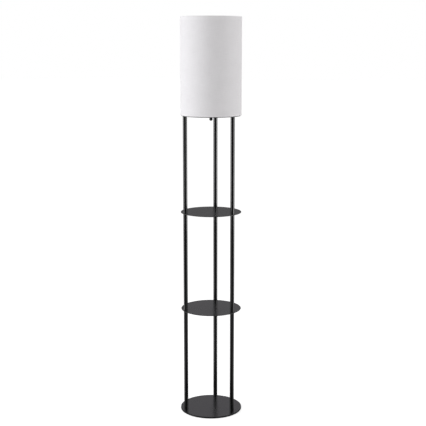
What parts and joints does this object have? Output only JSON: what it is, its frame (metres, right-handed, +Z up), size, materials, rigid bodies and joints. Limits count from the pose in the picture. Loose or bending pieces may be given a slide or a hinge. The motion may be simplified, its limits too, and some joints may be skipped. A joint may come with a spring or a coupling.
{
  "type": "shelf floor lamp",
  "caption": "Tall black floor lamp with open round shelves on slim posts, a round base and a white drum shade over a pull-chain switch.",
  "frame": {"origin": "on the floor at the middle of the round base", "axes": "+Z up along the lamp's axis, +Y to the rear post, -Y to the front, with the pull chain near -Y"},
  "size_m": [0.253, 0.253, 1.6168],
  "materials": {
    "black_coat": "satin black powder coat",
    "felt": "pressed felt",
    "zinc_steel": "zinc plated",
    "black_plastic": "satin moulded",
    "lead_sheath": "smooth sheath",
    "core_sheath": "smooth",
    "brass": "brushed",
    "fibre": "pressed fibre",
    "white_wire": "white coated wire",
    "liner": "matt translucent sheet",
    "white_fabric": "plain woven",
    "frosted_glass": "frosted",
    "bulb_metal": "satin",
    "black_glass": "glossy"
  },
  "bodies": {
    "lamp": {"base_pads": "felt", "base_plate": "black_coat", "base_screws": "zinc_steel", "bulb_cap": "bulb_metal", "bulb_contact": "bulb_metal", "bulb_glass": "frosted_glass", "bulb_insulator": "black_glass", "cap_bush": "black_plastic", "centre_contact": "brass", "chain_spout": "brass", "check_ring": "brass", "holder_cap": "brass", "holder_nipple": "zinc_steel", "holder_nut": "zinc_steel", "holder_ring": "brass", "holder_shell": "brass", "inlet_bush": "black_plastic", "inner_lead": "lead_sheath", "insulating_sleeve": "fibre", "lead_cores": "core_sheath", "lever_pin": "zinc_steel", "lower_post_inserts": "zinc_steel", "lower_post_left": "black_coat", "lower_post_rear": "black_coat", "lower_post_right": "black_coat", "middle_post_inserts": "zinc_steel", "middle_post_left": "black_coat", "middle_post_rear": "black_coat", "middle_post_right": "black_coat", "middle_shelf": "black_coat", "rear_nipples": "zinc_steel", "screw_shell": "brass", "shade_bottom_trim": "white_fabric", "shade_fabric": "white_fabric", "shade_fitter": "white_wire", "shade_liner": "liner", "shade_top_ring": "white_wire", "shade_top_trim": "white_fabric", "shelf_studs": "zinc_steel", "switch_body": "black_plastic", "top_frame": "black_coat", "top_lock_nut": "zinc_steel", "top_screws": "zinc_steel", "upper_post_inserts": "zinc_steel", "upper_post_left": "black_coat", "upper_post_rear": "black_coat", "upper_post_right": "black_coat", "upper_shelf": "black_coat"},
    "pull_switch": {"pull_chain": "brass", "chain_ball": "black_plastic"},
    "lever": {"switch_lever": "black_plastic"}
  },
  "joints": [
    {"name": "chain_pull", "type": "slide", "parent": "lamp", "child": "pull_switch", "axis": [0, 0, -1], "range_m": [0, 0.008], "stiffness_N_per_m": 150, "springref_m": -0.004},
    {"name": "lever_turn", "type": "hinge", "parent": "lamp", "child": "lever", "pos_m": [0.00272, -0.01627, 1.271], "axis": [0.9863, 0.165, 0], "range_deg": [0, 40]}
  ],
  "couplings": [
    {"joint": "lever_turn", "follows": "chain_pull", "rad_per_m": 87.2}
  ]
}
